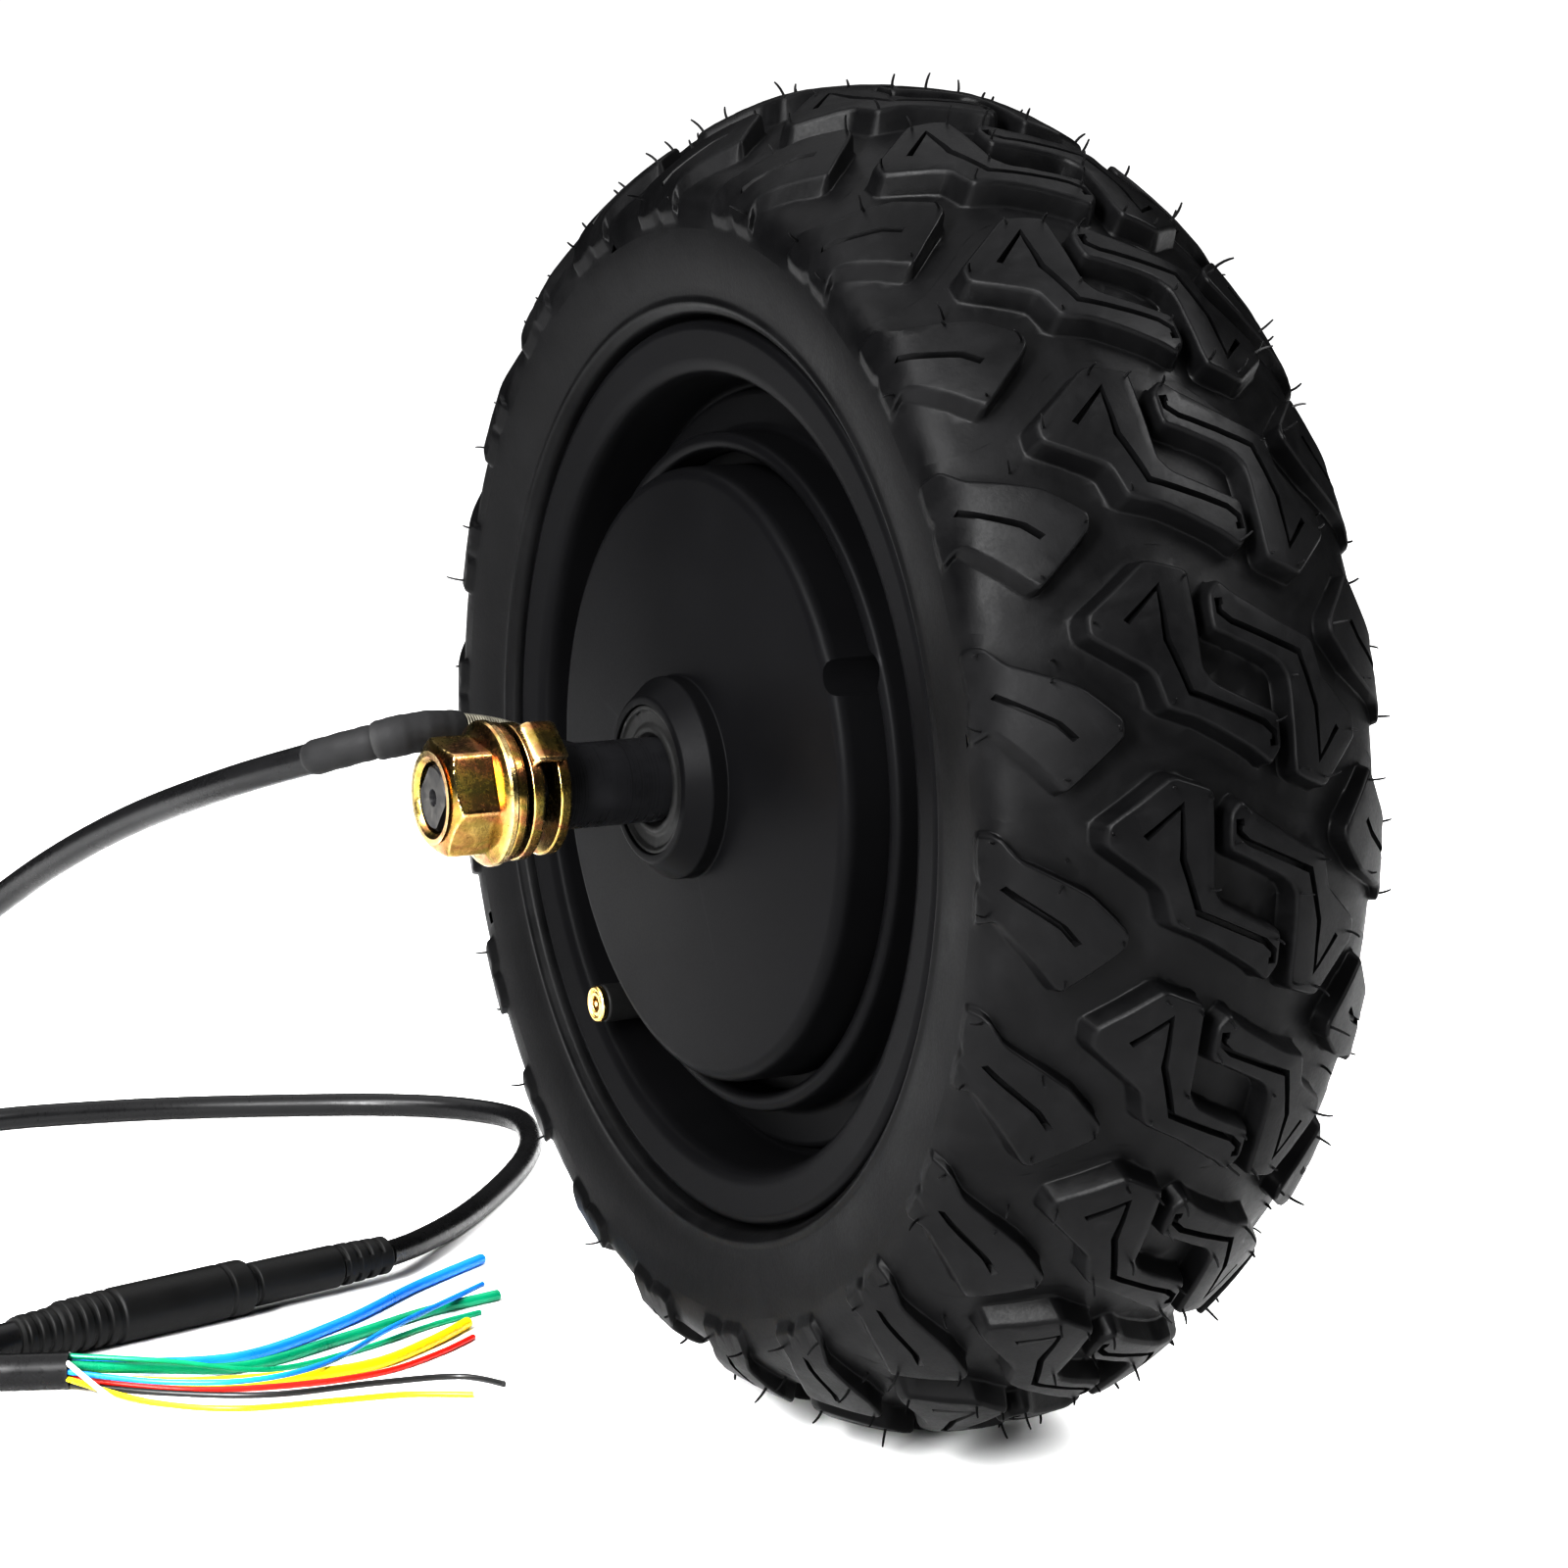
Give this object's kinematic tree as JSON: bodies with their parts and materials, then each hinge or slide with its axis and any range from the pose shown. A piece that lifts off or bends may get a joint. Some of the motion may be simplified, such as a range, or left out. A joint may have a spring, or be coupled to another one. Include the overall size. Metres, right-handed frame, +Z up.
{
  "type": "hub motor wheel",
  "caption": "Electric hub motor wheel: knobbly pneumatic tyre on a black rim, brushless motor on a fixed threaded axle, cable with an inline plug.",
  "frame": {"origin": "centre of the wheel, on the axle's axis in the tyre's middle plane", "axes": "Y along the axle, -Y to the side the cable leaves; Z up with the wheel standing on its tyre"},
  "size_m": [0.5206, 0.3731, 0.275],
  "materials": {
    "tyre_rubber": "matte moulded rubber",
    "black_coat": "satin black powder coat",
    "black_oxide": "black oxide with light oil",
    "zinc_yellow": "yellow zinc plating",
    "steel": "bright steel",
    "core_steel": "laminated silicon steel",
    "magnet": "nickel plated",
    "aluminium": "turned",
    "copper": "enamelled copper",
    "black_rubber": "matte rubber",
    "brass": "turned brass",
    "cable_black": "glossy cable sheath",
    "sleeve_black": "matte heat-shrink",
    "insulator": "moulded",
    "board_green": "solder mask",
    "lead_colour": "insulated lead",
    "wire_blue": "insulated wire",
    "wire_green": "insulated wire",
    "wire_yellow": "insulated wire",
    "wire_red": "insulated wire",
    "wire_black": "insulated wire",
    "wire_white": "insulated wire"
  },
  "bodies": {
    "stator": {"axle": "black_oxide", "shaft_key": "steel", "stator_spider": "aluminium", "stator_core": "core_steel", "windings": "copper", "insulator_cable_side": "insulator", "insulator_disc_side": "insulator", "hall_board": "board_green", "hall_sensors": "wire_black", "phase_leads": "lead_colour", "hall_leads": "wire_red", "cable_side_bearing_inner": "steel", "disc_side_bearing_inner": "steel", "cable_side_nut": "zinc_yellow", "disc_side_nut": "zinc_yellow", "cable_side_washer": "zinc_yellow", "disc_side_washer": "zinc_yellow", "cable_side_tab_washer": "zinc_yellow", "disc_side_tab_washer": "zinc_yellow", "cable_side_flat_washer": "zinc_yellow", "disc_side_flat_washer": "zinc_yellow", "cable_spring": "steel", "large_sleeve": "sleeve_black", "small_sleeve": "sleeve_black", "motor_cable": "cable_black", "connector_plug": "black_rubber", "connector_socket": "black_rubber", "tail_cable": "cable_black", "wire_blue": "wire_blue", "wire_green": "wire_green", "wire_yellow": "wire_yellow", "wire_thin_blue": "wire_blue", "wire_thin_green": "wire_green", "wire_red": "wire_red", "wire_black": "wire_black", "wire_thin_yellow": "wire_yellow", "wire_white": "wire_white"},
    "wheel": {"tyre": "tyre_rubber", "rim_hub": "black_coat", "cable_side_cover": "black_coat", "disc_side_cover": "black_coat", "cover_screws": "steel", "cable_cover_ring": "black_rubber", "disc_cover_ring": "black_rubber", "flux_ring": "steel", "magnets": "magnet", "cable_side_oil_seal": "black_rubber", "disc_side_oil_seal": "black_rubber", "cable_side_bearing_outer": "steel", "disc_side_bearing_outer": "steel", "cable_side_bearing_shields": "steel", "disc_side_bearing_shields": "steel", "valve_stem": "brass", "valve_rubber": "black_rubber", "valve_nut": "brass"},
    "cable_side_ball_set": {"cable_side_balls": "steel", "cable_side_cage": "brass"},
    "disc_side_ball_set": {"disc_side_balls": "steel", "disc_side_cage": "brass"},
    "valve_pin": {"valve_core": "brass"}
  },
  "joints": [
    {"name": "wheel_spin", "type": "hinge", "parent": "stator", "child": "wheel", "pos_m": [0, 0, 0], "axis": [0, 1, 0], "continuous": true},
    {"name": "cable_side_balls_orbit", "type": "hinge", "parent": "stator", "child": "cable_side_ball_set", "pos_m": [0, 0, 0], "axis": [0, 1, 0], "continuous": true},
    {"name": "disc_side_balls_orbit", "type": "hinge", "parent": "stator", "child": "disc_side_ball_set", "pos_m": [0, 0, 0], "axis": [0, 1, 0], "continuous": true},
    {"name": "valve_press", "type": "slide", "parent": "wheel", "child": "valve_pin", "axis": [0, 1, 0], "range_m": [0, 0.0015], "stiffness_N_per_m": 1300, "springref_m": -0.001}
  ],
  "couplings": [
    {"joint": "cable_side_balls_orbit", "follows": "wheel_spin", "ratio": 0.6175},
    {"joint": "disc_side_balls_orbit", "follows": "wheel_spin", "ratio": 0.6175}
  ]
}
